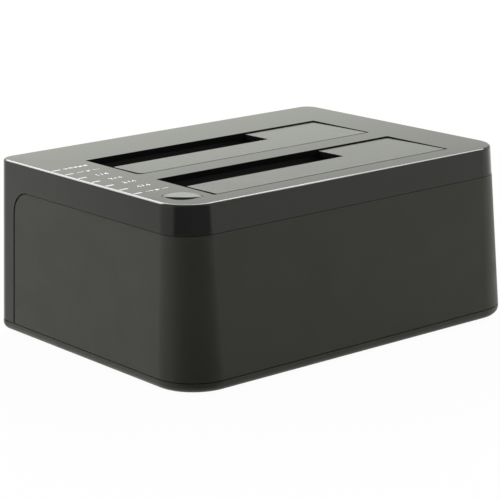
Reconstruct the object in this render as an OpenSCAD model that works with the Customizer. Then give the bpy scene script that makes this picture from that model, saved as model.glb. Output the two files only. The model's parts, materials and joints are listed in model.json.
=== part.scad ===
// Docking station for two bare drives: drafted two-tone housing, two bays with sprung L-shaped flaps.
// Origin: middle of the footprint, on the surface that the feet stand on. X runs along the front,
// Y from front to rear, Z up.

/* [Drive bays] */
// Length of each drive opening
bay_w = 106; // [104:0.5:112]
// Depth of each drive opening, front to rear
bay_d = 31.6; // [30.5:0.1:36]
// Length of the small-drive slot that the flap leaves open
slot_w = 71.5; // [70.5:0.5:76]
// Depth of the small-drive slot
slot_d = 14.8; // [10:0.2:16]
// Strip of top between the two openings
bay_gap = 9.8; // [9.8:0.2:16]
// Strip of top in front of the front opening
front_margin = 8.5; // [8.1:0.1:14]
// Strip of top behind the rear opening
rear_margin = 25.7; // [25:0.1:36]
// Strip of top at each end of the openings
side_margin = 19.75; // [19.25:0.25:28]
// Corner radius of the openings
bay_r = 0.5; // [0.3:0.1:1.5]
// Radius of the rear opening's front left corner
bay_lead_r = 2.4; // [1:0.1:4]

/* [Housing] */
// Height of the housing without its feet
body_h = 62; // [58:0.5:80]
// How far each side of the top sits in from the foot
side_setback = 3.25; // [2:0.25:5]
// How far the front of the top sits back from the foot
front_setback = 4.6; // [3:0.2:7]
// Radius of the two front corners at the top
front_r = 11.8; // [7:0.2:13]
// Radius of the two front corners at the foot
front_r_foot = 16; // [10:0.5:18]
// Radius of the two rear corners
rear_r = 5.2; // [4:0.1:8]
// Rounding of the top edge
top_round = 0.9; // [0.4:0.1:1.4]
// Rounding of the lower edge
foot_round = 2.8; // [1:0.1:3.2]
// Thickness of the outer walls
wall = 2.2; // [1.8:0.1:2.6]
// Thickness of the top
plate_t = 2.2; // [1.8:0.1:2.6]
// Height of the gloss band round the top
band_h = 10.2; // [9:0.1:16]
// Width of the gloss leg down the rear of each side
leg_w = 10.5; // [7:0.1:16]
// Radius where the leg meets the band
leg_r = 8; // [3:0.5:12]
// Width of the seam beside each leg
leg_seam = 0.35; // [0.2:0.05:0.6]
// Width of the seam under the band
band_seam = 0.15; // [0.1:0.05:0.4]
// Width of the seam over the base plate's rim
base_seam = 0.25; // [0.1:0.05:0.6]
// Height of the base plate's rim
rim_h = 3.6; // [3.5:0.1:5]
// Height of the tongue that each seam hides
lap_h = 2.4; // [1.5:0.1:3.5]
// Slip clearance between mouldings that fit together
fit_gap = 0.15; // [0.1:0.05:0.3]

/* [Base] */
// Thickness of the base floor
base_t = 2.2; // [1.8:0.1:2.6]
// Diameter of a rubber foot
foot_d = 10; // [8:0.5:14]
// How far a foot stands proud of the base
foot_proud = 1; // [0.6:0.1:2]
// How deep a foot sits in the base
foot_sunk = 1; // [0.6:0.1:1.2]
// Distance of the feet from the housing's sides
foot_in = 13; // [12:0.5:18]
// Diameter of a screw post
post_d = 5.5; // [5:0.1:6]
// Gap from a drive guide to the middle of the front screw posts
post_off = 4.5; // [4.2:0.1:5]
// Distance of the rear screw posts from the side of the top
rear_post_in = 8; // [7:0.25:9]
// Distance of the rear screw posts from the back
rear_post_back = 9; // [8:0.25:10]

/* [Drive guides] */
// Wall thickness of a drive guide
guide_t = 1.8; // [1.4:0.1:2]
// Room past the right end of the opening for the flap's stop
stop_room = 1.2; // [0.9:0.1:1.3]
// Room past the rear of the opening for the flap's swing
swing_room = 0.5; // [0.4:0.05:0.8]
// Drop from the top of the ears' bosses to the top plate
ear_drop = 4; // [3:0.25:6]
// Thickness of a fixing ear
ear_t = 2; // [1.5:0.1:2.5]
// Radius of a fixing ear
ear_r = 3.2; // [3:0.1:3.4]
// Distance of the ears behind the middle of the bay
ear_back = 11.2; // [10:0.2:12]

/* [Flaps] */
// Thickness of a flap
flap_t = 2; // [1.6:0.1:2.4]
// Gap round a flap
flap_gap = 0.9; // [0.6:0.05:1]
// Gap at the left end of a flap
flap_gap_left = 1.6; // [0.9:0.1:1.8]
// Gap at the front of a flap
flap_gap_front = 0.6; // [0.4:0.05:0.9]
// Droop of a closed flap in degrees
flap_droop = 0.75; // [0:0.05:0.8]
// Distance of the hinge axis in front of the opening
hinge_fore = 1; // [0.8:0.1:1.3]
// Diameter of a hinge pin
pin_d = 1.8; // [1.4:0.1:2]
// Radial clearance of a flap's knuckles on the pin
run_gap = 0.05; // [0.03:0.01:0.08]
// Radial clearance of a hinge pin's seats
seat_gap = 0.02; // [0.01:0.01:0.04]
// Outer radius of a knuckle
knuckle_r = 1.7; // [1.5:0.05:1.75]
// Length of a knuckle
knuckle_w = 6; // [4:0.5:9]
// Distance of the outer knuckles from the ends of the flap
knuckle_in = 9; // [7:0.5:14]
// Distance of the inner knuckles from the middle of the flap
knuckle_mid = 14; // [10:0.5:18]
// Clearance round moving parts
move_gap = 0.4; // [0.3:0.05:0.6]
// Height of the ribs under a flap
rib_h = 1.4; // [0.8:0.1:1.8]
// Thickness of the ribs under a flap
rib_t = 1.2; // [0.8:0.1:1.6]
// Wire diameter of a flap spring
wire_d = 0.4; // [0.3:0.05:0.45]
// Clearance of a flap spring round its pin
coil_gap = 0.35; // [0.25:0.05:0.4]
// Full turns of a flap spring
coil_turns = 5; // [3:1:8]
// Advance of a flap spring in one turn
coil_pitch = 0.9; // [0.85:0.05:1.2]
// Length of a flap spring's legs
spring_leg = 6; // [4:0.5:9]

/* [Button and indicators] */
// Length of the lens-shaped push button
button_l = 13.2; // [12:0.1:13.6]
// Width of the push button
button_w = 7.4; // [6.5:0.1:8]
// Gap round the push button
button_gap = 0.3; // [0.2:0.05:0.4]
// Distance of the button's middle from the left side of the top
button_in = 11; // [10:0.1:12]
// Distance of the button's middle from the front of the top
button_back = 14.2; // [13:0.1:15]
// Height of the foot of the button's dome above the top
button_rim = 0.1; // [0.1:0.1:0.8]
// Crown of the button's dome above its foot
button_crown = 0.6; // [0.3:0.1:1.2]
// Radius of the foot of the button's dome
dome_foot_r = 5.6; // [5:0.1:7]
// Overhang of the button's flange
flange_w = 1.2; // [0.8:0.1:1.3]
// Thickness of the button's flange
flange_t = 1.2; // [0.8:0.1:1.6]
// Diameter of the button's stem
stem_d = 4.4; // [4:0.1:5]
// Travel of the button
button_travel = 0.5; // [0.3:0.05:0.6]
// Number of light windows
tick_n = 7; // [5:1:7]
// Distance between light windows
tick_pitch = 7.88; // [7.5:0.02:8]
// Distance of the last light window behind the button's middle
tick_back = 13.2; // [13:0.1:14]
// Length of a light window
tick_l = 3.4; // [2.5:0.1:4]
// Width of a light window
tick_w = 1.1; // [0.8:0.1:1.5]
// Distance of the light windows from the side of the top
tick_in = 1.2; // [0.9:0.05:1.4]
// Clearance round a light window
tick_gap = 0.08; // [0.05:0.01:0.12]
// Drop from the top's underside to the indicator board
board_drop = 8; // [7.5:0.25:9]
// Thickness of the indicator board
ind_t = 1.2; // [1:0.1:1.6]
// Width of the indicator board's strip
strip_w = 7.4; // [7.2:0.1:7.6]
// Clearance between a board and the walls
board_gap = 0.6; // [0.5:0.1:0.9]
// Radius of the indicator board's bosses
ind_boss_r = 2.1; // [1.9:0.1:2.2]
// Height of a light-emitting diode
led_h = 0.8; // [0.5:0.1:1.1]
// Side of the push switch
tact_w = 6; // [5.5:0.25:6.5]
// Height of the push switch's case
tact_h = 3.5; // [3:0.1:4]
// Diameter of the push switch's plunger
plunger_d = 3.4; // [3:0.1:3.8]
// Height of the plunger above the case
plunger_h = 1; // [0.8:0.1:1.4]

/* [Main board] */
// Gap from the base floor to the main board
standoff = 4.8; // [4:0.2:6]
// Thickness of the main board
board_t = 1.6; // [1.2:0.2:2]
// Width of the main board
board_w = 112; // [108:0.5:112]
// Distance of the board's front edge in front of the front connector
board_fore = 8.4; // [7:0.2:12]
// Distance of the board's rear edge from the back wall
board_rear = 2.8; // [2:0.2:4]
// Distance of the board's screws from its edges
board_screw_in = 6; // [5:0.25:7]
// Gap from the board to the underside of the drive guides
under_guide = 2.6; // [2.4:0.1:4]
// Width of a drive connector
conn_w = 37.5; // [36:0.25:40]
// Depth of a drive connector
conn_d = 5.5; // [5:0.1:6]
// Height of a drive connector above the board
conn_h = 10.4; // [9.5:0.1:12]
// Distance of a connector's middle from the left end of the bay
conn_x = 30.6; // [29:0.1:32]
// Distance of a connector's middle from the rear of the bay
conn_y = 3.9; // [3.5:0.1:4.5]
// Depth of the connector's contact slots
conn_slot_h = 6; // [5:0.25:7]
// Width of the connector's contact slots
conn_slot_t = 2.4; // [2.2:0.1:2.6]
// Thickness of a contact
contact_t = 0.4; // [0.3:0.05:0.5]
// Spacing of the contacts
contact_pitch = 1.27; // [1.2:0.01:1.3]
// Height of the bridge chip
chip_h = 1.4; // [1:0.1:1.8]
// Side of the bridge chip
chip_w = 10; // [8:0.5:14]
// Diameter of a power capacitor
cap_d = 8; // [6.3:0.1:9]
// Height of a power capacitor
cap_h = 11.5; // [8:0.5:14]
// Side of a power coil
coil_w = 7; // [6:0.25:8]
// Height of a power coil
coil_h = 4; // [3:0.25:6]

/* [Rear sockets] */
// Distance of the data socket's middle from the board's right edge
usb_in = 38; // [34:0.5:40]
// Width of the data socket
usb_w = 12.1; // [11.5:0.1:13]
// Height of the data socket
usb_h = 12.7; // [11:0.1:14]
// Length of the data socket
usb_l = 17; // [15:0.25:18]
// Sheet thickness of the data socket
usb_t = 0.5; // [0.3:0.05:0.8]
// Clearance of the data socket in the back wall
port_gap = 0.3; // [0.2:0.05:0.5]
// Place of the power socket along the back
dc_x = -8; // [-12:0.5:-4]
// Width of the power socket
dc_w = 9; // [8.5:0.1:10]
// Height of the power socket
dc_h = 11; // [10:0.1:12.5]
// Length of the power socket
dc_l = 14.2; // [12:0.2:16]
// Bore of the power socket
dc_bore_d = 6.4; // [6:0.1:6.8]
// Depth of the power socket's bore
dc_bore_l = 9.5; // [8:0.25:11]
// Diameter of the power socket's pin
dc_pin_d = 2; // [1.6:0.1:2.5]
// Diameter of the round window in the back wall
dc_window_d = 8.6; // [8:0.1:9.4]
// Distance of the power switch's middle from the board's left edge
switch_in = 20; // [16:0.5:24]
// Width of the power switch
switch_w = 15; // [14.8:0.1:17]
// Height of the power switch
switch_h = 11.5; // [11:0.1:13]
// Length of the power switch
switch_l = 12; // [10:0.25:14]
// Half length of the rocker
rocker_half = 5.6; // [5:0.1:5.7]
// Height of the rocker
rocker_h = 8.4; // [7.5:0.1:8.6]
// Tilt of the rocker at rest
rocker_tilt = 8; // [5:0.5:9]
// Diameter of the rocker's trunnions
trunnion_d = 2.4; // [2:0.1:2.8]
// Length of the rocker's trunnions
trunnion_l = 1; // [0.6:0.1:1.2]

/* [Screws] */
// Shank diameter of the long base screws
screw_d = 2.5; // [2.2:0.1:2.8]
// Shank length of the base screws
screw_l = 10; // [8:0.5:14]
// Head diameter of the base screws
head_d = 5.2; // [4.6:0.1:5.4]
// Head height of the base screws
head_h = 1.8; // [1.4:0.1:2.2]
// Shank diameter of the small screws
small_d = 2; // [1.6:0.1:2.2]
// Shank length of the small screws
small_l = 5; // [4:0.25:6]
// Head diameter of the small screws
small_head_d = 3.6; // [3.2:0.1:3.8]
// Head height of the small screws
small_head_h = 1.3; // [1:0.1:1.6]
// Clearance of a screw in its hole
screw_gap = 0.05; // [0.03:0.01:0.08]

/* [Hidden] */
$fn = 48;

// Thickness of the discs that a drafted solid is stretched over
skin = 0.01;
// How far a boss or rib runs into the moulding that carries it
bite = 0.5;
// How far a cutting shape runs past the part
past = 20;
// Facets of a full turn at the housing's corners
corner_n = 96;
// Clearance of fixed inner parts from the walls near them
slip = 0.3;

// Housing
top_w = bay_w + 2 * side_margin;
top_d = front_margin + 2 * bay_d + bay_gap + rear_margin;
base_w = top_w + 2 * side_setback;
base_d = top_d + front_setback;
y_rear = base_d / 2;
y_leg = y_rear - leg_w;
z_base = foot_proud;
z_rim = z_base + rim_h;
z_top = z_base + body_h;
z_seam = z_top - band_h;
z_under = z_top - plate_t;
lap = wall / 2;
rear_bay_y = y_rear - rear_margin - bay_d;
front_bay_y = rear_bay_y - bay_gap - bay_d;
function half_w(z) = base_w / 2 - side_setback * (z - z_base) / body_h;
function front_r_at(z) = front_r_foot - (front_r_foot - front_r) * (z - z_base) / body_h;
function front_y(z) = -base_d / 2 + front_setback * (z - z_base) / body_h;

// Flap hinges
hinge_z = z_under - knuckle_r - move_gap;
hinge_room = hinge_fore + knuckle_r + move_gap;
pin_r = pin_d / 2;
flap_under = z_top - flap_t;
slot_right = slot_w - bay_w / 2;
knuckle_x = [
    knuckle_in - bay_w / 2,
    -knuckle_mid,
    knuckle_mid,
    bay_w / 2 - knuckle_in
];
arm_d = 3;
rib_in = 2;
stop_t = 1.5;
stop_w = 6;
stop_gap = 0.15;
coil_r = pin_r + coil_gap + wire_d / 2;
coil_x = knuckle_mid + knuckle_w / 2 + 2;

// Boards
z_board = z_base + base_t + standoff;
z_parts = z_board + board_t;
z_floor = z_parts + under_guide + guide_t;
z_ind = z_under - board_drop;
board_y1 = y_rear - wall - board_rear;
function conn_mid(bay_y) = [conn_x - bay_w / 2, bay_y + bay_d + swing_room - conn_y];
board_y0 = conn_mid(front_bay_y)[1] - board_fore;

// Drive guides
guide_x0 = -bay_w / 2 - guide_t;
guide_x1 = bay_w / 2 + stop_room + guide_t;
ear_off = guide_t + 2;
ear_z = z_under - ear_drop - ear_t;
ear_boss_r = 2.6;
function ear_mids(bay_y) = [
    for (x = [guide_x0 - ear_off, guide_x1 + ear_off]) [x, bay_y + bay_d / 2 + ear_back]
];

// Screw posts
post_seat = 0.8;
post_floor = 1.8;
z_head = z_base + post_seat + head_h;
z_post = z_head + post_floor;
post_fore = 2.7;
posts = [
    [guide_x0 - post_off, front_bay_y + bay_d / 2 + post_fore],
    [guide_x1 + post_off, front_bay_y + bay_d / 2 + post_fore],
    [rear_post_in - top_w / 2, y_rear - rear_post_back],
    [top_w / 2 - rear_post_in, y_rear - rear_post_back]
];
head_room = 0.4;
head_wall = 1.2;
board_boss_r = 3;
shank_room = 0.3;
rear_foot_gap = 2.4;
feet = [
    for (side = [-1, 1], y = [
        foot_in - base_d / 2,
        y_rear - rear_post_back - head_d / 2 - rear_foot_gap - foot_d / 2
    ]) [side * (base_w / 2 - foot_in), y]
];
board_screw_mids = [
    for (side = [-1, 1], y = [board_y0 + board_screw_in, board_y1 - board_screw_in])
        [side * (board_w / 2 - board_screw_in), y]
];

// Button and indicators
button_mid = [button_in - top_w / 2, front_y(z_top) + button_back];
button_half = button_l / 2;
button_turn = -45;
flange_z = z_under - stop_gap;
plunger_z = z_ind + tact_h + plunger_h;
plunger_in = 1.2;
tick_x = tick_in - top_w / 2;
function tick_y(i) = button_mid[1] + tick_back + i * tick_pitch;
prong_x = wall + slip - top_w / 2;
ind_x = wall + board_gap - half_w(z_ind);
ind_boss_in = 5.2;
ind_bosses = [
    for (y = [tick_y(0) + tick_pitch / 2, tick_y(tick_n - 1) - tick_pitch / 2]) [ind_x + ind_boss_in, y]
];
tab_x = guide_x0 - board_gap - slip;
tab_room = 0.9;
tab_y0 = button_mid[1] - button_half;
tab_y1 = button_mid[1] + button_half + flange_w + tab_room;
tab_cut = 4;
strip_end = 4;
led_l = 1.8;
led_w = 1.2;
bar_h = 2;

// Ribbon between the boards
ribbon_w = 8;
ribbon_t = 0.3;
ribbon_bend = 3;
ribbon_y = rear_bay_y;
socket_w = 10;
socket_h = 3;
socket_d = 3.5;
ribbon_x = ind_x + 3.6;
plug_h = under_guide - slip;

// Rear sockets
usb_x = board_w / 2 - usb_in;
switch_x = switch_in - board_w / 2;
port_set = 0.4;
dc_drop = 4.6;
z_dc = z_parts + dc_h - dc_drop;
port_back = 0.2;
port_y = y_rear - wall - port_back;
rocker_in = 3;
rocker_mid = [switch_x, port_y - rocker_in, z_parts + switch_h / 2];
rocker_room = 1;
part_back = 12;
part_y = y_rear - wall - part_back;

// Box between two opposite corners
module block(lo, hi) translate(lo) cube(hi - lo);

// Upright rod
module rod(mid, r, z0, z1) translate([mid[0], mid[1], z0]) cylinder(r = r, h = z1 - z0);

// Rod along X
module rod_x(y, z, r, x0, x1) translate([x0, y, z]) rotate([0, 90, 0]) cylinder(r = r, h = x1 - x0);

// Rod along Y, from front to rear
module rod_y(x, z, r, y0, y1) translate([x, y1, z]) rotate([90, 0, 0]) cylinder(r = r, h = y1 - y0);

// Outline in Y and Z, drawn out along X
module along_x(x0, x1, outline)
    translate([x0, 0, 0]) rotate([90, 0, 90]) linear_extrude(x1 - x0) polygon(outline);

// Outline in X and Z, drawn out along Y
module along_y(y0, y1, outline)
    translate([0, y1, 0]) rotate([90, 0, 0]) linear_extrude(y1 - y0) polygon(outline);

// Outline in X and Y, drawn up from a height
module up_from(z, h, outline) translate([0, 0, z]) linear_extrude(h) polygon(outline);

function arc(mid, r, a0, a1, n = 12) = [
    for (i = [0 : n]) mid + r * [cos(a0 + (a1 - a0) * i / n), sin(a0 + (a1 - a0) * i / n)]
];

function unit(v) = v / norm(v);

// Right-angled outline with each corner rounded to its own radius
function rounded(p, r, n = 6) = [
    for (i = [0 : len(p) - 1])
        let (
            a = unit(p[(i + len(p) - 1) % len(p)] - p[i]),
            b = unit(p[(i + 1) % len(p)] - p[i]),
            mid = p[i] + r[i] * (a + b)
        )
        for (k = [0 : r[i] > 0 ? n : 0])
            mid - r[i] * (b * cos(90 * k / n) + a * sin(90 * k / n))
];

// Four thin discs at the housing's corners, drawn in from its outline at one height
module corners(z, inset) {
    for (side = [-1, 1]) {
        translate([side * (half_w(z) - front_r_at(z)), front_y(z) + front_r_at(z), z])
            cylinder(r = front_r_at(z) - inset, h = skin, $fn = corner_n);
        translate([side * (half_w(z) - rear_r), y_rear - rear_r, z])
            cylinder(r = rear_r - inset, h = skin, $fn = corner_n);
    }
}

// Drafted solid inside the housing's outline
module inside(inset, z0, z1) hull() {
    corners(z0, inset);
    corners(z1 - skin, inset);
}

// Drafted outer form with a rounded top edge
module outer_form() hull() {
    corners(z_base, 0);
    for (a = [0 : 15 : 90])
        corners(z_top - skin - top_round * (1 - sin(a)), top_round * (1 - cos(a)));
}

// Outer form of the base with a rounded lower edge
module base_form() hull() {
    corners(z_rim - base_seam / 2 - skin, 0);
    for (a = [0 : 15 : 90])
        corners(z_base + foot_round * (1 - sin(a)), foot_round * (1 - cos(a)));
}

// Side view of the lower shell, grown towards the leg and the band, drawn out across the housing
leg_n = 18;
module lower_zone(at_leg, at_band) along_x(-base_w, base_w, concat(
    [[-base_d, -past], [y_leg + at_leg, -past]],
    [for (i = [0 : leg_n]) [
        y_leg - leg_r + (leg_r + at_leg) * cos(90 * i / leg_n),
        z_seam - leg_r + (leg_r + at_band) * sin(90 * i / leg_n)
    ]],
    [[-base_d, z_seam + at_band]]
));

// Everything below a height
module below(z) block([-base_w, -base_d, z - past], [base_w, base_d, z]);

// Opening of one bay through the top
function lead_r(bay_y) = bay_y == rear_bay_y ? bay_lead_r : bay_r;
module bay_opening(bay_y) up_from(z_under - bite, plate_t + 2 * bite, rounded(
    [[-bay_w / 2, bay_y], [bay_w / 2, bay_y], [bay_w / 2, bay_y + bay_d], [-bay_w / 2, bay_y + bay_d]],
    [lead_r(bay_y), bay_r, bay_r, bay_r]
));

// Gloss top with its band, its rear legs and the back wall
module top_bezel() color("#1b1c1e") difference() {
    union() {
        difference() {
            outer_form();
            inside(wall, z_base, z_under);
            lower_zone(leg_seam / 2, band_seam / 2);
            below(z_rim + base_seam / 2);
            intersection() {
                inside(lap, z_base, z_top);
                union() {
                    lower_zone(lap_h + fit_gap, lap_h + fit_gap);
                    below(z_rim + lap_h + fit_gap);
                }
            }
        }
        for (p = posts) rod(p, post_d / 2, z_post, z_under + bite);
        for (y = [rear_bay_y, front_bay_y], p = ear_mids(y))
            rod(p, ear_boss_r, ear_z + ear_t, z_under + bite);
        for (p = ind_bosses) rod(p, ind_boss_r, z_ind, z_under + bite);
    }
    for (y = [rear_bay_y, front_bay_y]) bay_opening(y);
    button_rod(button_gap, z_under - bite, z_top + bite);
    for (i = [0 : tick_n - 1])
        block(
            [tick_x - tick_gap, tick_y(i) - tick_w / 2 - tick_gap, z_under - tick_gap],
            [tick_x + tick_l + tick_gap, tick_y(i) + tick_w / 2 + tick_gap, z_top + bite]
        );
    for (p = posts) rod(p, screw_d / 2 + screw_gap, z_post - bite, z_head + screw_l + bite);
    for (y = [rear_bay_y, front_bay_y], p = ear_mids(y))
        rod(p, small_d / 2 + screw_gap, ear_z, ear_z + small_l + bite);
    for (p = ind_bosses) rod(p, small_d / 2 + screw_gap, z_ind - bite, z_ind - ind_t + small_l + bite);
    usb_window();
    rod_y(dc_x, z_dc, dc_window_d / 2, y_rear - wall - bite, y_rear + bite);
    rocker_window();
}

module usb_window() block(
    [usb_x - usb_w / 2 - port_gap, y_rear - wall - bite, z_parts - port_gap],
    [usb_x + usb_w / 2 + port_gap, y_rear + bite, z_parts + usb_h + port_gap]
);

module rocker_window() block(
    [switch_x - rocker_half - rocker_room, y_rear - wall - bite, rocker_mid[2] - rocker_h / 2 - move_gap],
    [switch_x + rocker_half + rocker_room, y_rear + bite, rocker_mid[2] + rocker_h / 2 + move_gap]
);

// Matte front and sides, with a tongue behind the band and the legs
module lower_shell() color("#333431") difference() {
    union() {
        intersection() {
            outer_form();
            lower_zone(-leg_seam / 2, -band_seam / 2);
        }
        intersection() {
            inside(lap + fit_gap, z_base, z_top);
            lower_zone(lap_h, lap_h);
        }
    }
    inside(wall, z_base - past, z_top + past);
    below(z_rim + base_seam / 2);
    intersection() {
        inside(lap, z_base, z_top);
        below(z_rim + lap_h + fit_gap);
    }
}

// Tray under the housing, with bosses for the posts and the main board
module base_plate() color("#2c2d2b") difference() {
    union() {
        difference() {
            union() {
                base_form();
                inside(lap + fit_gap, z_base + base_t, z_rim + lap_h);
            }
            inside(wall, z_base + base_t, z_rim + lap_h + bite);
        }
        for (p = posts) rod(p, head_d / 2 + head_room + head_wall, z_base + base_t - bite, z_post);
        for (p = board_screw_mids) rod(p, board_boss_r, z_base + base_t - bite, z_board);
    }
    for (p = feet) rod(p, foot_d / 2 + fit_gap, z_base - bite, z_base + foot_sunk);
    for (p = posts) {
        rod(p, head_d / 2 + head_room, z_base - bite, z_head);
        rod(p, screw_d / 2 + shank_room, z_base, z_post + bite);
    }
    for (p = board_screw_mids) rod(p, small_d / 2 + screw_gap, z_parts - small_l - bite, z_board + bite);
}

module rubber_feet() color("#0d0d0d") for (p = feet) difference() {
    rod(p, foot_d / 2, 0, z_base + foot_sunk);
    translate([p[0], p[1], 0]) rotate_extrude() translate([foot_d / 2, 0]) circle(r = foot_proud / 2);
}

// Screw with its head down and its shank up, and a cross recess in the head
recess_l = 0.6;
recess_w = 0.18;
module screw(p, z, d, l, hd, hh) difference() {
    union() {
        rod(p, hd / 2, z - hh, z);
        rod(p, d / 2, z - bite, z + l);
    }
    for (a = [0, 90]) translate([p[0], p[1], z - hh]) rotate(a)
        block(
            [-hd * recess_l / 2, -hd * recess_w / 2, -bite],
            [hd * recess_l / 2, hd * recess_w / 2, hh / 2]
        );
}

module base_screws() color("silver") for (p = posts) screw(p, z_head, screw_d, screw_l, head_d, head_h);

module guide_screws() color("silver") for (y = [rear_bay_y, front_bay_y], p = ear_mids(y))
    screw(p, ear_z, small_d, small_l, small_head_d, small_head_h);

module indicator_screws() color("silver") for (p = ind_bosses)
    screw(p, z_ind - ind_t, small_d, small_l, small_head_d, small_head_h);

module board_screws() color("silver") for (p = board_screw_mids)
    translate([p[0], p[1], z_parts]) rotate([180, 0, 0])
        screw([0, 0], 0, small_d, small_l, small_head_d, small_head_h);

// Open-topped well under one bay
module drive_guide(bay_y) {
    conn = conn_mid(bay_y);
    difference() {
        union() {
            block(
                [guide_x0, bay_y - hinge_room - guide_t, z_floor - guide_t],
                [guide_x1, bay_y + bay_d + swing_room + guide_t, z_under]
            );
            for (p = ear_mids(bay_y)) guide_ear(p);
        }
        block(
            [guide_x0 + guide_t, bay_y - hinge_room, z_floor],
            [guide_x1 - guide_t, bay_y + bay_d + swing_room, z_under + bite]
        );
        block(
            [conn[0] - conn_w / 2 - move_gap, conn[1] - conn_d / 2 - move_gap, z_floor - guide_t - bite],
            [conn[0] + conn_w / 2 + move_gap, conn[1] + conn_d / 2 + move_gap, z_floor + bite]
        );
        rod_x(bay_y - hinge_fore, hinge_z, pin_r + seat_gap, guide_x0 - bite, guide_x1 + bite);
    }
}

module guide_ear(p) {
    inner = p[0] < 0 ? guide_x0 + bite : guide_x1 - bite;
    turn = p[0] < 0 ? 180 : 0;
    difference() {
        up_from(ear_z, ear_t, concat(
            [[inner, p[1] + (turn == 0 ? -ear_r : ear_r)]],
            arc(p, ear_r, turn - 90, turn + 90),
            [[inner, p[1] + (turn == 0 ? ear_r : -ear_r)]]
        ));
        rod(p, small_d / 2 + shank_room, ear_z - bite, ear_z + ear_t + bite);
    }
}

module rear_drive_guide() color("#202122") drive_guide(rear_bay_y);
module front_drive_guide() color("#202122") drive_guide(front_bay_y);

// L-shaped flap on gooseneck arms, level with the top at its hinge and a little low at its rear
module flap(bay_y) {
    x0 = flap_gap_left - bay_w / 2;
    x1 = bay_w / 2 - flap_gap;
    y0 = bay_y + flap_gap_front;
    y1 = bay_y + bay_d - slot_d;
    y2 = bay_y + bay_d - flap_gap;
    axis_y = bay_y - hinge_fore;
    rib_y = y1 - rib_t - rib_in;
    stop_y = (y1 + y2 - stop_w) / 2;
    stop_z = z_under + (stop_y - axis_y) * sin(flap_droop) - stop_gap;
    translate([0, axis_y, hinge_z]) rotate([-flap_droop, 0, 0]) translate([0, -axis_y, -hinge_z])
        difference() {
            union() {
                up_from(flap_under, flap_t, rounded(
                    [[x0, y0], [x1, y0], [x1, y2], [slot_right, y2], [slot_right, y1], [x0, y1]],
                    [lead_r(bay_y), bay_r, bay_r, bay_r, bay_r, bay_r]
                ));
                for (x = knuckle_x) {
                    rod_x(axis_y, hinge_z, knuckle_r, x - knuckle_w / 2, x + knuckle_w / 2);
                    along_x(x - knuckle_w / 2, x + knuckle_w / 2, [
                        [y0, flap_under + bite],
                        [y0 + arm_d, flap_under + bite],
                        [axis_y + knuckle_r * 0.7, hinge_z - knuckle_r * 0.7],
                        [axis_y, hinge_z]
                    ]);
                }
                block(
                    [x0 + arm_d, rib_y, flap_under - rib_h],
                    [x1 - arm_d, rib_y + rib_t, flap_under + bite]
                );
                block(
                    [slot_right + arm_d, y2 - arm_d - rib_t, flap_under - rib_h],
                    [x1 - arm_d, y2 - arm_d, flap_under + bite]
                );
                block([x1 - arm_d, stop_y, stop_z - stop_t], [x1, stop_y + stop_w, flap_under + bite]);
                block(
                    [x1 - bite, stop_y, stop_z - stop_t],
                    [bay_w / 2 + stop_room - move_gap, stop_y + stop_w, stop_z]
                );
            }
            rod_x(axis_y, hinge_z, pin_r + run_gap, -bay_w, bay_w);
        }
}

module rear_flap() color("#26272a") flap(rear_bay_y);
module front_flap() color("#26272a") flap(front_bay_y);

module hinge_pin(bay_y) rod_x(bay_y - hinge_fore, hinge_z, pin_r, guide_x0, guide_x1);
module rear_hinge_pin() color("silver") hinge_pin(rear_bay_y);
module front_hinge_pin() color("silver") hinge_pin(front_bay_y);

// Route of a flap spring: a leg under the flap, turns round the pin, a leg down the guide's front wall
ring_n = 8;
side_n = 6;
function spring_route(bay_y) = let (
    y = bay_y - hinge_fore,
    last = 90 + 360 * coil_turns + 90,
    x1 = coil_x + coil_pitch * (last - 90) / 360
) concat(
    [[coil_x, y + spring_leg, flap_under - slip / 2 - wire_d / 2]],
    [for (a = [90 : 360 / ring_n : last])
        [coil_x + coil_pitch * (a - 90) / 360, y + coil_r * cos(a), hinge_z + coil_r * sin(a)]],
    [[x1, y - coil_r, hinge_z - spring_leg]]
);

// Round wire along a route that never runs along X
module wire(p, r) {
    n = len(p);
    ring = function (i) let (
        t = unit(p[min(i + 1, n - 1)] - p[max(i - 1, 0)]),
        u = unit([1, 0, 0] - t[0] * t),
        v = cross(t, u)
    ) [for (k = [0 : side_n - 1]) p[i] + r * (u * cos(360 * k / side_n) + v * sin(360 * k / side_n))];
    polyhedron(
        points = [for (i = [0 : n - 1]) each ring(i)],
        faces = concat(
            [[for (k = [0 : side_n - 1]) k]],
            [for (i = [0 : n - 2], k = [0 : side_n - 1])
                let (a = i * side_n + k, b = i * side_n + (k + 1) % side_n)
                each [[a, a + side_n, b], [b, a + side_n, b + side_n]]],
            [[for (k = [side_n - 1 : -1 : 0]) (n - 1) * side_n + k]]
        )
    );
}

module rear_flap_spring() color("silver") wire(spring_route(rear_bay_y), wire_d / 2);
module front_flap_spring() color("silver") wire(spring_route(front_bay_y), wire_d / 2);

// Outline of the button between its two ends, grown by a distance
lens_n = 24;
function lens(grow) = let (
    bulge = button_w / 2,
    r = (button_half * button_half + bulge * bulge) / (2 * bulge),
    off = r - bulge,
    a = acos(off / (r + grow))
) [
    for (side = [1, -1], i = [0 : lens_n - 1])
        let (t = a * (1 - 2 * i / lens_n)) side * [(r + grow) * sin(t), (r + grow) * cos(t) - off]
];

// Upright bar with the button's outline
module button_rod(grow, z0, z1)
    translate([button_mid[0], button_mid[1], z0]) rotate(button_turn)
        linear_extrude(z1 - z0) polygon(lens(grow));

// Domed button with a stop flange and a stem that rests on the push switch
module clone_button() color("#2a2b2e") {
    crown_z = z_top + button_rim + button_crown;
    dome_r = (dome_foot_r * dome_foot_r + button_crown * button_crown) / (2 * button_crown);
    intersection() {
        button_rod(0, flange_z - flange_t, crown_z + bite);
        translate([button_mid[0], button_mid[1], crown_z - dome_r]) sphere(r = dome_r);
    }
    button_rod(flange_w, flange_z - flange_t, flange_z);
    rod(button_mid, stem_d / 2, plunger_z, flange_z);
}

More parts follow.
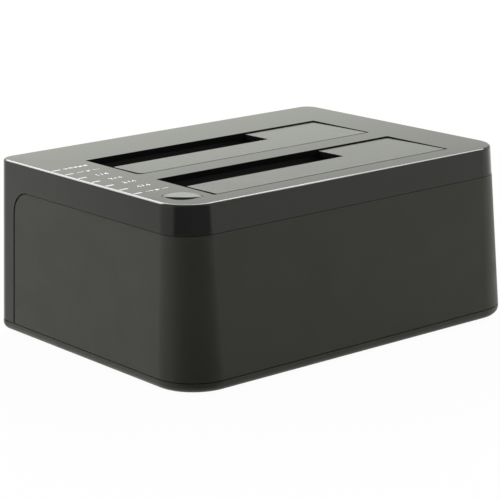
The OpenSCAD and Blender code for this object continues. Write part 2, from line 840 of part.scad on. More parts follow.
// Comb of seven light pipes
module light_guide() color("#e8eef0") {
    for (i = [0 : tick_n - 1]) {
        block(
            [tick_x, tick_y(i) - tick_w / 2, z_under + tick_gap],
            [tick_x + tick_l, tick_y(i) + tick_w / 2, z_top]
        );
        block(
            [prong_x, tick_y(i) - tick_w / 2, z_ind + led_h + tick_gap],
            [tick_x + tick_l, tick_y(i) + tick_w / 2, z_top - bite]
        );
    }
    block(
        [prong_x, tick_y(0) - tick_w, z_under - bar_h - tick_gap],
        [tick_x + tick_l - bite, tick_y(tick_n - 1) + tick_w, z_under - tick_gap]
    );
}

// Strip under the light windows with a tab under the button
module indicator_board() color("#1f5a37") difference() {
    up_from(z_ind - ind_t, ind_t, [
        [ind_x + tab_cut, tab_y0],
        [tab_x, tab_y0],
        [tab_x, tab_y1],
        [ind_x + strip_w, tab_y1],
        [ind_x + strip_w, tick_y(tick_n - 1) + strip_end],
        [ind_x, tick_y(tick_n - 1) + strip_end],
        [ind_x, tab_y0 + tab_cut]
    ]);
    for (p = ind_bosses) rod(p, small_d / 2 + shank_room, z_ind - ind_t - bite, z_ind + bite);
}

module indicator_leds() color("#f5f5ee") for (i = [0 : tick_n - 1])
    block([prong_x, tick_y(i) - led_w / 2, z_ind], [prong_x + led_l, tick_y(i) + led_w / 2, z_ind + led_h]);

module tact_switch() color("#111111") difference() {
    block(
        [button_mid[0] - tact_w / 2, button_mid[1] - tact_w / 2, z_ind],
        [button_mid[0] + tact_w / 2, button_mid[1] + tact_w / 2, z_ind + tact_h]
    );
    rod(
        button_mid, plunger_d / 2 + run_gap,
        plunger_z - plunger_h - plunger_in - button_travel - move_gap, plunger_z
    );
}

module tact_plunger() color("#d8d0b8")
    rod(button_mid, plunger_d / 2, plunger_z - plunger_h - plunger_in, plunger_z);

// Flat ribbon that drops from the indicator board and turns in to the main board
module indicator_ribbon() color("#c9c3b2") {
    z_end = z_parts + plug_h / 2;
    mid = [ribbon_x + ribbon_bend, z_end + ribbon_bend];
    along_y(ribbon_y - ribbon_w / 2, ribbon_y + ribbon_w / 2, concat(
        [[ribbon_x - ribbon_t / 2, z_ind - ind_t - socket_h]],
        arc(mid, ribbon_bend + ribbon_t / 2, 180, 270),
        [[-board_w / 2, z_end - ribbon_t / 2], [-board_w / 2, z_end + ribbon_t / 2]],
        arc(mid, ribbon_bend - ribbon_t / 2, 270, 180),
        [[ribbon_x + ribbon_t / 2, z_ind - ind_t - socket_h]]
    ));
}

module ribbon_sockets() color("#ece7d8") {
    block(
        [ribbon_x - socket_d / 2, ribbon_y - socket_w / 2, z_ind - ind_t - socket_h],
        [ribbon_x + socket_d / 2, ribbon_y + socket_w / 2, z_ind - ind_t]
    );
    block(
        [-board_w / 2, ribbon_y - socket_w / 2, z_parts],
        [socket_d - board_w / 2, ribbon_y + socket_w / 2, z_parts + plug_h]
    );
}

module main_board() color("#1c5433") difference() {
    block([-board_w / 2, board_y0, z_board], [board_w / 2, board_y1, z_parts]);
    for (p = board_screw_mids) rod(p, small_d / 2 + shank_room, z_board - bite, z_parts + bite);
}

// Places of a connector's two contact rows along X, from its middle
data_n = 7;
power_n = 15;
row_gap = 2;
row_end = 1.5;
function row_len(n) = n * contact_pitch + row_end;
data_x = -(row_len(data_n) + row_gap + row_len(power_n)) / 2;
power_x = data_x + row_len(data_n) + row_gap;

// Upright socket with a short data slot and a long power slot, each with its L-shaped key
module drive_connector(bay_y) {
    mid = conn_mid(bay_y);
    top = z_parts + conn_h;
    difference() {
        block(
            [mid[0] - conn_w / 2, mid[1] - conn_d / 2, z_parts],
            [mid[0] + conn_w / 2, mid[1] + conn_d / 2, top]
        );
        for (row = [[data_x, data_n], [power_x, power_n]]) {
            x0 = mid[0] + row[0];
            block(
                [x0, mid[1] - conn_slot_t / 2, top - conn_slot_h],
                [x0 + row_len(row[1]), mid[1] + conn_slot_t / 2, top + bite]
            );
            block(
                [x0, mid[1] - bite, top - conn_slot_h],
                [x0 + row_end, mid[1] + conn_slot_t / 2 + bite, top + bite]
            );
        }
    }
}

module rear_drive_connector() color("#151515") drive_connector(rear_bay_y);
module front_drive_connector() color("#151515") drive_connector(front_bay_y);

contact_w = 0.7;
contact_down = 0.8;
module connector_contacts(bay_y) {
    mid = conn_mid(bay_y);
    top = z_parts + conn_h;
    for (row = [[data_x, data_n], [power_x, power_n]], i = [0 : row[1] - 1]) {
        x = mid[0] + row[0] + row_end + (i + 0.5) * contact_pitch - contact_w / 2;
        block(
            [x, mid[1] - conn_slot_t / 2, top - conn_slot_h],
            [x + contact_w, mid[1] - conn_slot_t / 2 + contact_t, top - contact_down]
        );
    }
}

module rear_connector_contacts() color("gold") connector_contacts(rear_bay_y);
module front_connector_contacts() color("gold") connector_contacts(front_bay_y);

// Part that stands on the main board
module on_board(mid, size) translate([mid[0] - size[0] / 2, mid[1] - size[1] / 2, z_parts]) cube(size);

chip_mid = [16, rear_bay_y + 8];
flash_off = [18, 2];
flash_size = [5, 6, 1.6];
crystal_off = [14, -10];
crystal_size = [5, 3.2, 1];
module bridge_chip() color("#1a1a1a") on_board(chip_mid, [chip_w, chip_w, chip_h]);
module flash_chip() color("#1a1a1a") on_board(chip_mid + flash_off, flash_size);
module clock_crystal() color("silver") on_board(chip_mid + crystal_off, crystal_size);

coil_mids = [
    [(usb_x - usb_w / 2 + dc_x + dc_w / 2) / 2, part_y],
    [(dc_x - dc_w / 2 + switch_x + switch_w / 2) / 2, part_y]
];
module power_coils() color("#4a4a4c") for (p = coil_mids) on_board(p, [coil_w, coil_w, coil_h]);

cap_step = 2.5;
cap_side = 4;
cap_x = usb_x + usb_w / 2 + cap_d / 2 + cap_side;
module power_capacitors() color("#20242c") for (i = [0, 1])
    rod([cap_x + i * (cap_d + cap_step), part_y], cap_d / 2, z_parts, z_parts + cap_h);

// Square data socket: metal shell with a stepped mouth, and the tongues inside it
usb_back = 4;
mouth_half = 4.3;
neck_half = 2.9;
mouth_side = 5.6;
mouth_step = 7.3;
tongue_root = 3;
tongue_tip = 1.2;
tongues = [[2.8, 2.2, 5.2], [2, 8.9, 9.9]];
function mouth() = let (z0 = z_parts + usb_t, z1 = z_parts + usb_h - usb_t) [
    [usb_x - mouth_half, z0],
    [usb_x + mouth_half, z0],
    [usb_x + mouth_half, z0 + mouth_side],
    [usb_x + neck_half, z0 + mouth_step],
    [usb_x + neck_half, z1],
    [usb_x - neck_half, z1],
    [usb_x - neck_half, z0 + mouth_step],
    [usb_x - mouth_half, z0 + mouth_side]
];
module usb_port_shell() color("silver") difference() {
    block(
        [usb_x - usb_w / 2, y_rear - port_set - usb_l, z_parts],
        [usb_x + usb_w / 2, y_rear - port_set, z_parts + usb_h]
    );
    along_y(y_rear - port_set - usb_l + usb_back, y_rear + bite, mouth());
}

module usb_port_tongue() color("#1f55b5") {
    y0 = y_rear - port_set - usb_l + usb_back;
    along_y(y0, y0 + tongue_root, mouth());
    for (t = tongues) block(
        [usb_x - t[0], y0, z_parts + usb_t + t[1]],
        [usb_x + t[0], y_rear - port_set - tongue_tip, z_parts + usb_t + t[2]]
    );
}

dc_pin_in = 1;
module dc_jack() color("#141414") difference() {
    block([dc_x - dc_w / 2, port_y - dc_l, z_parts], [dc_x + dc_w / 2, port_y, z_parts + dc_h]);
    rod_y(dc_x, z_dc, dc_bore_d / 2, port_y - dc_bore_l, port_y + bite);
}

module dc_jack_pin() color("silver") rod_y(dc_x, z_dc, dc_pin_d / 2, port_y - dc_bore_l, port_y - dc_pin_in);

module power_switch_frame() color("#181818") difference() {
    block(
        [switch_x - switch_w / 2, port_y - switch_l, z_parts],
        [switch_x + switch_w / 2, port_y, z_parts + switch_h]
    );
    block(
        [
            switch_x - rocker_half - rocker_room,
            rocker_mid[1] - rocker_in,
            rocker_mid[2] - rocker_h / 2 - move_gap
        ],
        [switch_x + rocker_half + rocker_room, port_y + bite, rocker_mid[2] + rocker_h / 2 + move_gap]
    );
    rod(
        rocker_mid, trunnion_d / 2 + run_gap,
        rocker_mid[2] - trunnion_z - run_gap, rocker_mid[2] + trunnion_z + run_gap
    );
}

trunnion_z = rocker_h / 2 + trunnion_l;
rocker_out = 4.4;
rocker_dip = 1;
rocker_waist = 1.2;
keel_half = 2;
keel_d = 1.8;
module power_rocker() color("#232323") translate(rocker_mid) rotate([0, 0, rocker_tilt]) {
    up_from(-rocker_h / 2, rocker_h, [
        [-rocker_half, rocker_waist],
        [-keel_half, -keel_d],
        [keel_half, -keel_d],
        [rocker_half, rocker_waist],
        [rocker_half, rocker_out],
        [0, rocker_out - rocker_dip],
        [-rocker_half, rocker_out]
    ]);
    rod([0, 0], trunnion_d / 2, -trunnion_z, trunnion_z);
}

top_bezel();
lower_shell();
base_plate();
rubber_feet();
base_screws();
rear_drive_guide();
front_drive_guide();
guide_screws();
rear_flap();
front_flap();
rear_hinge_pin();
front_hinge_pin();
rear_flap_spring();
front_flap_spring();
clone_button();
light_guide();
indicator_board();
indicator_screws();
indicator_leds();
tact_switch();
tact_plunger();
indicator_ribbon();
ribbon_sockets();
main_board();
board_screws();
rear_drive_connector();
front_drive_connector();
rear_connector_contacts();
front_connector_contacts();
bridge_chip();
flash_chip();
clock_crystal();
power_coils();
power_capacitors();
usb_port_shell();
usb_port_tongue();
dc_jack();
dc_jack_pin();
power_switch_frame();
power_rocker();
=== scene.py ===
import json
import math

import bmesh
import bpy
from mathutils import Matrix, Vector


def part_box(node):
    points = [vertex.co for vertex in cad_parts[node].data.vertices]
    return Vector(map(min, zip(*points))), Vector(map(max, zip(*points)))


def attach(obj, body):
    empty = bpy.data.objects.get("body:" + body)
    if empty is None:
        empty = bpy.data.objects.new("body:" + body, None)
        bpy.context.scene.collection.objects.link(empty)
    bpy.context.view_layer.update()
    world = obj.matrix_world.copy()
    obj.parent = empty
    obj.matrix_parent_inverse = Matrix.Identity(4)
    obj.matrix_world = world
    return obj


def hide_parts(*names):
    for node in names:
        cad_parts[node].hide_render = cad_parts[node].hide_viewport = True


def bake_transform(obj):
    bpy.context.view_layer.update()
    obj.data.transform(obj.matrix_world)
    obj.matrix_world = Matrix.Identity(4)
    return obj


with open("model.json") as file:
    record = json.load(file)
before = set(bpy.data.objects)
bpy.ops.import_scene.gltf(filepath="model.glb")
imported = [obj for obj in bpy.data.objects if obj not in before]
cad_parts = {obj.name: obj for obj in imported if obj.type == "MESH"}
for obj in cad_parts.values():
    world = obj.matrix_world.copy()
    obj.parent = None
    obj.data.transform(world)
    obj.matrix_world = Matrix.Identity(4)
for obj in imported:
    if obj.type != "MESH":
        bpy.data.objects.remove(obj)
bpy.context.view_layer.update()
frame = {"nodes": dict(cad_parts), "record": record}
MM = 0.001

# Camera, fitted to the photographed edges of the housing
FOCAL_PX = 2044.4
IMAGE_PX = 500.0
SENSOR_MM = 36.0
AZIMUTH, ELEVATION, ROLL = -39.08, 14.57, -0.91
OFF_RIGHT, OFF_UP, DISTANCE = -1.44 * MM, 24.58 * MM, 744.83 * MM
FIT_TO_FRAME = Vector((0.0, 2.9 * MM, 1.0 * MM))


def camera_axes():
    a, e, r = (math.radians(v) for v in (AZIMUTH, ELEVATION, ROLL))
    back = Vector((math.sin(a) * math.cos(e), -math.cos(a) * math.cos(e), math.sin(e)))
    right = Vector((math.cos(a), math.sin(a), 0.0))
    up = back.cross(right)
    turned_right = math.cos(r) * right + math.sin(r) * up
    turned_up = -math.sin(r) * right + math.cos(r) * up
    return turned_right, turned_up, back


def make_camera():
    right, up, back = camera_axes()
    data = bpy.data.cameras.new("camera")
    data.sensor_width = SENSOR_MM
    data.lens = FOCAL_PX / IMAGE_PX * SENSOR_MM
    data.clip_start = 0.01
    data.clip_end = 50.0
    obj = bpy.data.objects.new("camera", data)
    place = right * OFF_RIGHT + up * OFF_UP + back * DISTANCE + FIT_TO_FRAME
    turn = Matrix((right, up, back)).transposed().to_4x4()
    obj.matrix_world = Matrix.Translation(place) @ turn
    bpy.context.scene.collection.objects.link(obj)
    bpy.context.scene.camera = obj


# Usual span of the noise, height of the moulded grain, stretch of the streaks on metal
NOISE_LOW, NOISE_HIGH = 0.3, 0.7
GRAIN_HEIGHT = 0.05 * MM
STREAK_SCALE = (0.15, 1.0, 1.0)


# Small node helpers
class Nodes:
    def __init__(self, tree):
        self.tree = tree
        tree.nodes.clear()

    def add(self, kind, **values):
        node = self.tree.nodes.new(kind)
        for key, value in values.items():
            setattr(node, key, value)
        return node

    def link(self, a, b):
        self.tree.links.new(a, b)


# Materials by the names that this script gives them
MATERIALS = {}


def new_material(name):
    mat = bpy.data.materials.new(name)
    MATERIALS[name] = mat
    mat.use_nodes = True
    nodes = Nodes(mat.node_tree)
    out = nodes.add("ShaderNodeOutputMaterial")
    shader = nodes.add("ShaderNodeBsdfPrincipled")
    nodes.link(shader.outputs[0], out.inputs[0])
    return nodes, shader


def noise(nodes, where, scale, detail=2.0):
    tex = nodes.add("ShaderNodeTexNoise")
    tex.inputs["Scale"].default_value = scale
    tex.inputs["Detail"].default_value = detail
    nodes.link(where, tex.inputs["Vector"])
    return tex.outputs["Fac"]


def ramp(nodes, fac, low, high):
    node = nodes.add("ShaderNodeMapRange")
    node.inputs["To Min"].default_value = low
    node.inputs["To Max"].default_value = high
    node.inputs["From Min"].default_value = NOISE_LOW
    node.inputs["From Max"].default_value = NOISE_HIGH
    nodes.link(fac, node.inputs["Value"])
    return node.outputs["Result"]


def mix_colour(nodes, fac, low, high):
    node = nodes.add("ShaderNodeMix", data_type="RGBA")
    node.inputs["A"].default_value = (*low, 1.0)
    node.inputs["B"].default_value = (*high, 1.0)
    nodes.link(fac, node.inputs["Factor"])
    return next(s for s in node.outputs if s.type == "RGBA")


def moulded(name, low, high, rough, grain, depth, cloud=30.0, ior=1.5, edge=0.0):
    """Plastic: cloudy colour, uneven gloss and a fine moulded grain."""
    nodes, shader = new_material(name)
    where = nodes.add("ShaderNodeTexCoord").outputs["Object"]
    colour = mix_colour(nodes, noise(nodes, where, cloud), low, high)
    gloss = ramp(nodes, noise(nodes, where, cloud * 3.0), *rough)
    nodes.link(colour, shader.inputs["Base Color"])
    nodes.link(gloss, shader.inputs["Roughness"])
    shader.inputs["IOR"].default_value = ior
    bump = nodes.add("ShaderNodeBump")
    bump.inputs["Strength"].default_value = depth
    bump.inputs["Distance"].default_value = GRAIN_HEIGHT
    nodes.link(noise(nodes, where, grain, 3.0), bump.inputs["Height"])
    nodes.link(bump.outputs["Normal"], shader.inputs["Normal"])
    if edge:
        soft_edge = nodes.add("ShaderNodeBevel", samples=6)
        soft_edge.inputs["Radius"].default_value = edge
        nodes.link(soft_edge.outputs["Normal"], bump.inputs["Normal"])


def metal(name, low, high, rough, grain):
    """Metal with fine drawn streaks."""
    nodes, shader = new_material(name)
    coord = nodes.add("ShaderNodeTexCoord").outputs["Object"]
    stretch = nodes.add("ShaderNodeMapping")
    stretch.inputs["Scale"].default_value = STREAK_SCALE
    nodes.link(coord, stretch.inputs["Vector"])
    fac = noise(nodes, stretch.outputs["Vector"], grain, 4.0)
    nodes.link(mix_colour(nodes, fac, low, high), shader.inputs["Base Color"])
    nodes.link(ramp(nodes, fac, *rough), shader.inputs["Roughness"])
    shader.inputs["Metallic"].default_value = 1.0


def grey(v, warm=0.0):
    return (v * (1 + warm), v * (1 + 0.6 * warm), v * (1 - warm))


# Two shades, roughness from and to, scale of the grain or streaks and, on plastic, strength of the grain
moulded("gloss_black", grey(0.017), grey(0.021), (0.07, 0.11), 500.0, 0.02)
moulded("flap_black", grey(0.017), grey(0.022), (0.12, 0.18), 500.0, 0.03, edge=0.1 * MM)
moulded("matte_charcoal", grey(0.030, 0.12), grey(0.036, 0.12), (0.42, 0.50), 1500.0, 0.5)
moulded("inner_black", grey(0.036), grey(0.044), (0.45, 0.6), 1500.0, 0.2)
moulded("rubber_black", grey(0.008), grey(0.014), (0.7, 0.85), 2500.0, 0.4)
moulded("clear_plastic", grey(0.70), grey(0.78), (0.15, 0.25), 900.0, 0.05)
moulded("board_green", (0.01, 0.09, 0.03), (0.02, 0.14, 0.05), (0.3, 0.4), 900.0, 0.3, cloud=300.0)
moulded("pale_plastic", (0.62, 0.58, 0.46), (0.72, 0.68, 0.56), (0.4, 0.5), 1200.0, 0.1)
moulded("blue_plastic", (0.01, 0.07, 0.3), (0.02, 0.1, 0.38), (0.35, 0.45), 1200.0, 0.1)
moulded("button_grey", (0.098, 0.108, 0.092), (0.112, 0.124, 0.106), (0.50, 0.58), 1500.0, 0.05)
moulded("print_white", grey(0.74), grey(0.84), (0.5, 0.6), 4000.0, 0.2, cloud=900.0)
# Painted shade: near-black and hardly reflecting, for the strips laid over the leg joints
moulded("painted_seam_shade", grey(0.003), grey(0.006), (0.75, 0.9), 2500.0, 0.3, ior=1.1)
metal("bright_steel", grey(0.50), grey(0.62), (0.2, 0.35), 900.0)
metal("can_aluminium", grey(0.45), grey(0.55), (0.3, 0.4), 700.0)
metal("gilt", (0.72, 0.50, 0.18), (0.85, 0.62, 0.25), (0.2, 0.3), 1500.0)


# Nodes whose finish differs from that of their material slot
OWN_MATERIAL = {"rear_flap": "flap_black", "front_flap": "flap_black", "clone_button": "button_grey"}
# Corners closer than this are one, and an edge that turns by less than this is shaded smooth
MERGE_GAP, SMOOTH_BELOW = 0.0005 * MM, math.radians(34.0)


def smooth_group():
    """Shades each node smooth, but keeps its real edges sharp."""
    tree = bpy.data.node_groups.new("smooth_by_angle", "GeometryNodeTree")
    tree.interface.new_socket("Geometry", in_out="INPUT", socket_type="NodeSocketGeometry")
    tree.interface.new_socket("Geometry", in_out="OUTPUT", socket_type="NodeSocketGeometry")
    nodes = Nodes(tree)
    source = nodes.add("NodeGroupInput")
    plain = nodes.add("GeometryNodeRemoveAttribute")
    plain.inputs["Name"].default_value = "custom_normal"
    merge = nodes.add("GeometryNodeMergeByDistance")
    merge.inputs["Distance"].default_value = MERGE_GAP
    angle = nodes.add("GeometryNodeInputMeshEdgeAngle")
    test = nodes.add("FunctionNodeCompare", data_type="FLOAT", operation="LESS_THAN")
    test.inputs[1].default_value = SMOOTH_BELOW
    faces = nodes.add("GeometryNodeSetShadeSmooth", domain="FACE")
    edges = nodes.add("GeometryNodeSetShadeSmooth", domain="EDGE")
    out = nodes.add("NodeGroupOutput")
    nodes.link(source.outputs[0], plain.inputs["Geometry"])
    nodes.link(plain.outputs["Geometry"], merge.inputs["Geometry"])
    nodes.link(merge.outputs["Geometry"], faces.inputs["Geometry"])
    nodes.link(faces.outputs["Geometry"], edges.inputs["Geometry"])
    nodes.link(angle.outputs["Unsigned Angle"], test.inputs[0])
    nodes.link(test.outputs[0], edges.inputs["Shade Smooth"])
    nodes.link(edges.outputs["Geometry"], out.inputs[0])
    return tree


def dress_nodes():
    group = smooth_group()
    for row in frame["record"]["subparts"]:
        obj = frame["nodes"][row["node"]]
        finish = OWN_MATERIAL.get(row["node"], row["material_slot"])
        obj.data.materials.clear()
        obj.data.materials.append(MATERIALS[finish])
        obj.modifiers.new("smooth", "NODES").node_group = group
        weigh = obj.modifiers.new("weigh", "WEIGHTED_NORMAL")
        weigh.mode = "FACE_AREA"
        weigh.keep_sharp = True


def add_piece(name, bm, material):
    """Turns a finished bmesh into a piece of the scene."""
    mesh = bpy.data.meshes.new(name)
    bm.to_mesh(mesh)
    bm.free()
    mesh.materials.append(MATERIALS[material])
    obj = bpy.data.objects.new(name, mesh)
    bpy.context.scene.collection.objects.link(obj)
    return obj


# Top of the housing, half its width there and how far each side leans out per length downwards
TOP_Z, TOP_HALF_W, SIDE_SLOPE = 63.0 * MM, 72.75 * MM, 3.25 / 62.0

# Marks printed beside the light windows: y of the first row, step, middle, thickness
ROW_Y, ROW_STEP = -23.9 * MM, 7.88 * MM
PRINT_X, PRINT_T = -61.8 * MM, 0.02 * MM
# Lettering: size, swell and spacing
LETTER_SIZE, LETTER_SWELL, LETTER_SPACE = 3.0 * MM, 0.08 * MM, 1.4
COUNTS = ("4/4", "3/4", "2/4", "1/4")
# Signs: ends of the dashes from the middle, their width and half an arrow head's length and width
FIRST_DASH, LAST_DASH = (-4.9 * MM, -1.9 * MM), (1.8 * MM, 4.5 * MM)
THIN_DASH, HEAD_L, HEAD_W = 0.42 * MM, 0.8 * MM, 0.95 * MM
# Row of short dashes: count, width, length, step and start from the middle
DASH_COUNT, DASH_W, DASH_L, DASH_STEP, DASH_START = 5, 1.2 * MM, 1.5 * MM, 2.05 * MM, -4.9 * MM


def add_outline(bm, points):
    """A flat printed shape with a little thickness."""
    low = [bm.verts.new((x, y, TOP_Z)) for x, y in points]
    high = [bm.verts.new((x, y, TOP_Z + PRINT_T)) for x, y in points]
    bm.faces.new(high)
    bm.faces.new(low[::-1])
    for i in range(len(points)):
        j = (i + 1) % len(points)
        bm.faces.new((low[i], low[j], high[j], high[i]))


def add_dash(bm, x0, x1, y, width):
    add_outline(bm, [(x0, y - width / 2), (x1, y - width / 2), (x1, y + width / 2), (x0, y + width / 2)])


def add_letters(bm, body, y):
    curve = bpy.data.curves.new("letters", "FONT")
    curve.body = body
    curve.size = LETTER_SIZE
    curve.align_x = "CENTER"
    curve.align_y = "CENTER"
    curve.extrude = PRINT_T / 2
    curve.offset = LETTER_SWELL
    curve.space_character = LETTER_SPACE
    holder = bpy.data.objects.new("letters", curve)
    mesh = bpy.data.meshes.new_from_object(holder)
    mesh.transform(Matrix.Translation((PRINT_X, y, TOP_Z + PRINT_T / 2)))
    bm.from_mesh(mesh)
    bpy.data.objects.remove(holder)
    bpy.data.curves.remove(curve)
    bpy.data.meshes.remove(mesh)


def add_transfer_sign(bm, y):
    """A dash, an arrow head and a dash."""
    for start, end in (FIRST_DASH, LAST_DASH):
        add_dash(bm, PRINT_X + start, PRINT_X + end, y, THIN_DASH)
    add_outline(bm, [(PRINT_X - HEAD_L, y - HEAD_W), (PRINT_X + HEAD_L, y), (PRINT_X - HEAD_L, y + HEAD_W)])


def make_print():
    bm = bmesh.new()
    add_transfer_sign(bm, ROW_Y)
    for row, body in enumerate(COUNTS, 1):
        add_letters(bm, body, ROW_Y + row * ROW_STEP)
    add_transfer_sign(bm, ROW_Y + 5 * ROW_STEP)
    for i in range(DASH_COUNT):
        x = PRINT_X + DASH_START + i * DASH_STEP
        add_dash(bm, x, x + DASH_L, ROW_Y + 6 * ROW_STEP, DASH_W)
    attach(add_piece("printed_marks", bm, "print_white"), "housing")


def join_rings(bm, rings):
    """Skins a row of rings into a closed tube."""
    for a, b in zip(rings, rings[1:]):
        for k in range(len(a)):
            j = (k + 1) % len(a)
            bm.faces.new((a[k], a[j], b[j], b[k]))
    bm.faces.new(rings[0][::-1])
    bm.faces.new(rings[-1])


# Painted shadow: a near-black strip laid over the joint beside each rear leg, wider than the joint, stands
# in for the shade in the gap; the joint's place and bend, and the strip's foot and section
LEG_Y, SEAM_Z, BEND_R = 45.4 * MM, 52.8 * MM, 8.0 * MM
LINE_LOW, LINE_HALF, LINE_DEPTH, LINE_PROUD = 4.9 * MM, 0.36 * MM, 0.06 * MM, 0.01 * MM
# Steps round the bend, the step at which the line starts to taper and how much width it loses
BEND_STEPS, TAPER_STEP, TAPER_LOSS = 18, 8, 0.7


def shadow_strip_ring(bm, side, y, z, across, half):
    """Four corners of the painted shadow strip at one point of its path."""
    ring = []
    for reach, lift in ((-half, LINE_PROUD), (half, LINE_PROUD), (half, -LINE_DEPTH), (-half, -LINE_DEPTH)):
        at_z = z + reach * across[1]
        x = TOP_HALF_W + SIDE_SLOPE * (TOP_Z - at_z) + lift
        ring.append(bm.verts.new((side * x, y + reach * across[0], at_z)))
    return ring


# Painted shadow: near-black strips laid over the joints beside the rear legs
def make_painted_seam_shadow():
    bm = bmesh.new()
    for side in (-1, 1):
        rings = [shadow_strip_ring(bm, side, LEG_Y, LINE_LOW, (1.0, 0.0), LINE_HALF)]
        for i in range(BEND_STEPS + 1):
            turn = math.radians(90.0 * i / BEND_STEPS)
            across = (math.cos(turn), math.sin(turn))
            taper = max(0.0, (i - TAPER_STEP) / (BEND_STEPS - TAPER_STEP))
            half = LINE_HALF * (1.0 - TAPER_LOSS * taper)
            y = LEG_Y - BEND_R + BEND_R * across[0]
            z = SEAM_Z - BEND_R + BEND_R * across[1]
            rings.append(shadow_strip_ring(bm, side, y, z, across, half))
        join_rings(bm, rings)
    bmesh.ops.recalc_face_normals(bm, faces=bm.faces)
    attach(add_piece("painted_seam_shadow", bm, "painted_seam_shade"), "housing")


# Flap springs, wound as in the solids: half the wire, height of the upper leg's end, advance of a turn
WIRE_R, UPPER_LEG_Z, COIL_PITCH = 0.2 * MM, 60.65 * MM, 0.9 * MM
# Degrees wound, degrees of one step and sides of the wire
COIL_SWEEP, COIL_STEP, WIRE_SIDES = 1890, 15, 10


def spring_route(spring, pin):
    """A leg under the flap, turns round the pin and a leg down the guide's wall."""
    low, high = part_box(spring)
    pin_low, pin_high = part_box(pin)
    y, z = ((pin_low[i] + pin_high[i]) / 2 for i in (1, 2))
    radius = y - low[1] - WIRE_R
    first_x = low[0] + WIRE_R
    route = [Vector((first_x, high[1], UPPER_LEG_Z))]
    for turn in range(0, COIL_SWEEP + 1, COIL_STEP):
        a = math.radians(90 + turn)
        x = first_x + COIL_PITCH * turn / 360
        route.append(Vector((x, y + radius * math.cos(a), z + radius * math.sin(a))))
    route.append(Vector((route[-1].x, route[-1].y, low[2])))
    return route


def make_spring(bay):
    """A wire along the spring's route, with a leg under the flap, turns round the pin and a leg on the
    guide, in place of the hidden spring part.
    """
    spring = bay + "_flap_spring"
    route = spring_route(spring, bay + "_hinge_pin")
    bm = bmesh.new()
    rings = []
    angles = [2 * math.pi * k / WIRE_SIDES for k in range(WIRE_SIDES)]
    for i, point in enumerate(route):
        t = (route[min(i + 1, len(route) - 1)] - route[max(i - 1, 0)]).normalized()
        u = (Vector((1.0, 0.0, 0.0)) - t.x * t).normalized()
        v = t.cross(u)
        rings.append([bm.verts.new(point + WIRE_R * (math.cos(a) * u + math.sin(a) * v)) for a in angles])
    join_rings(bm, rings)
    bmesh.ops.recalc_face_normals(bm, faces=bm.faces)
    for face in bm.faces:
        face.smooth = len(face.verts) == 4
    obj = add_piece(bay + "_spring_wire", bm, "bright_steel")
    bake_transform(obj)
    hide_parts(spring)


# White floor: half its width in metres, its height just under the feet, share of plain white in the picture
FLOOR_HALF, FLOOR_Z, FLOOR_WHITE = 6.0, -0.02 * MM, 0.97


def make_stage():
    mesh = bpy.data.meshes.new("floor")
    corners = [(x * FLOOR_HALF, y * FLOOR_HALF, FLOOR_Z) for x, y in ((-1, -1), (1, -1), (1, 1), (-1, 1))]
    mesh.from_pydata(corners, [], [(0, 1, 2, 3)])
    floor = bpy.data.objects.new("floor", mesh)
    bpy.context.scene.collection.objects.link(floor)
    mat = bpy.data.materials.new("floor_white")
    mat.use_nodes = True
    nodes = Nodes(mat.node_tree)
    out = nodes.add("ShaderNodeOutputMaterial")
    diffuse = nodes.add("ShaderNodeBsdfDiffuse")
    diffuse.inputs["Color"].default_value = (0.8, 0.8, 0.8, 1)
    glow = nodes.add("ShaderNodeEmission")
    path = nodes.add("ShaderNodeLightPath")
    mix = nodes.add("ShaderNodeMixShader")
    share = nodes.add("ShaderNodeMath", operation="MULTIPLY")
    share.inputs[1].default_value = FLOOR_WHITE
    nodes.link(path.outputs["Is Camera Ray"], share.inputs[0])
    nodes.link(share.outputs[0], mix.inputs[0])
    nodes.link(diffuse.outputs[0], mix.inputs[1])
    nodes.link(glow.outputs[0], mix.inputs[2])
    nodes.link(mix.outputs[0], out.inputs[0])
    floor.data.materials.append(mat)
    floor.visible_glossy = False


def fade(nodes, value, start, stop, first, last):
    node = nodes.add("ShaderNodeMapRange", interpolation_type="SMOOTHSTEP")
    node.inputs["From Min"].default_value = start
    node.inputs["From Max"].default_value = stop
    node.inputs["To Min"].default_value = first
    node.inputs["To Max"].default_value = last
    nodes.link(value, node.inputs["Value"])
    return node.outputs["Result"]


def along(nodes, vector, direction):
    node = nodes.add("ShaderNodeVectorMath", operation="DOT_PRODUCT")
    node.inputs[1].default_value = direction
    nodes.link(vector, node.inputs[0])
    return node.outputs["Value"]


# The side of the room that the front left corner faces
ROOM_FRONT = Vector((-0.47, -0.883, 0.0))
# The way in which the backdrop grows darker: to the right and upwards
BACKDROP_FADE = Vector((0.464, 0.0, 0.886))
# Fades of the room that gloss mirrors: start, stop, first and last level
BACKDROP = (-0.9, -0.2, 1.0, 0.73)
BACKDROP_TOP = (0.385, 0.545, 1.22, 0.76)
LEFT_WALL = (-0.64, -0.50, 0.80, 1.0)
DARK_FRONT = (0.40, 0.64, 1.0, 0.17)
CEILING = (0.72, 0.90, 1.0, 0.7)
# Tint of the mirrored room, and level of the even light from all round
ROOM_TINT = (0.98, 1.0, 0.92, 1.0)
EVEN_LIGHT = 0.3


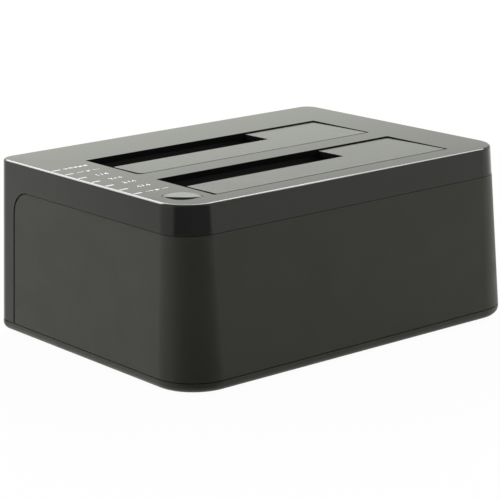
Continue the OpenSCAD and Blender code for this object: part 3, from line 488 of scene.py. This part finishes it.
def make_world():
    world = bpy.data.worlds.new("studio")
    world.use_nodes = True
    bpy.context.scene.world = world
    nodes = Nodes(world.node_tree)
    out = nodes.add("ShaderNodeOutputWorld")
    path = nodes.add("ShaderNodeLightPath")
    coord = nodes.add("ShaderNodeTexCoord")
    # Reflections: a pale room, brightest behind the object, dimmer overhead and dark in front
    front = along(nodes, coord.outputs["Generated"], ROOM_FRONT)
    across = along(nodes, coord.outputs["Generated"], BACKDROP_FADE)
    axis = nodes.add("ShaderNodeSeparateXYZ")
    nodes.link(coord.outputs["Generated"], axis.inputs[0])
    level = fade(nodes, front, *BACKDROP)
    nodes.link(fade(nodes, across, *BACKDROP_TOP), level.node.inputs["To Min"])
    left = fade(nodes, axis.outputs["X"], *LEFT_WALL)
    dim = fade(nodes, front, *DARK_FRONT)
    overhead = fade(nodes, axis.outputs["Z"], *CEILING)
    for part in (left, dim, overhead):
        times = nodes.add("ShaderNodeMath", operation="MULTIPLY")
        nodes.link(level, times.inputs[0])
        nodes.link(part, times.inputs[1])
        level = times.outputs[0]
    mirror = nodes.add("ShaderNodeBackground")
    mirror.inputs["Color"].default_value = ROOM_TINT
    nodes.link(level, mirror.inputs["Strength"])
    soft = nodes.add("ShaderNodeBackground")
    soft.inputs["Strength"].default_value = EVEN_LIGHT
    white = nodes.add("ShaderNodeBackground")
    white.inputs["Strength"].default_value = 1.0
    first = nodes.add("ShaderNodeMixShader")
    second = nodes.add("ShaderNodeMixShader")
    nodes.link(path.outputs["Is Glossy Ray"], first.inputs[0])
    nodes.link(soft.outputs[0], first.inputs[1])
    nodes.link(mirror.outputs[0], first.inputs[2])
    nodes.link(path.outputs["Is Camera Ray"], second.inputs[0])
    nodes.link(first.outputs[0], second.inputs[1])
    nodes.link(white.outputs[0], second.inputs[2])
    nodes.link(second.outputs[0], out.inputs[0])


# Distance of every lamp from the middle of the base, in metres
LAMP_DISTANCE = 1.6


def add_lamp(name, direction, size, radiance):
    data = bpy.data.lights.new(name, "AREA")
    data.shape = "RECTANGLE"
    data.size, data.size_y = size
    data.energy = radiance * math.pi * size[0] * size[1]
    obj = bpy.data.objects.new(name, data)
    place = Vector(direction).normalized() * LAMP_DISTANCE
    obj.location = place
    obj.rotation_euler = (-place).to_track_quat("-Z", "Y").to_euler()
    bpy.context.scene.collection.objects.link(obj)


def make_lights():
    # Two long softboxes, whose mirror images run along the top edges of the housing
    add_lamp("strip_back", (0.10, 0.76, 0.60), (2.2, 0.5), 7.5)
    add_lamp("strip_right", (0.66, 0.16, 0.73), (1.5, 0.5), 7.5)
    add_lamp("softbox_left", (-1.0, 0.25, 0.35), (0.9, 0.7), 0.35)


make_camera()
dress_nodes()
make_print()
make_painted_seam_shadow()
for bay in ("rear", "front"):
    make_spring(bay)
make_stage()
make_world()
make_lights()
bpy.context.scene.view_settings.view_transform = "Standard"
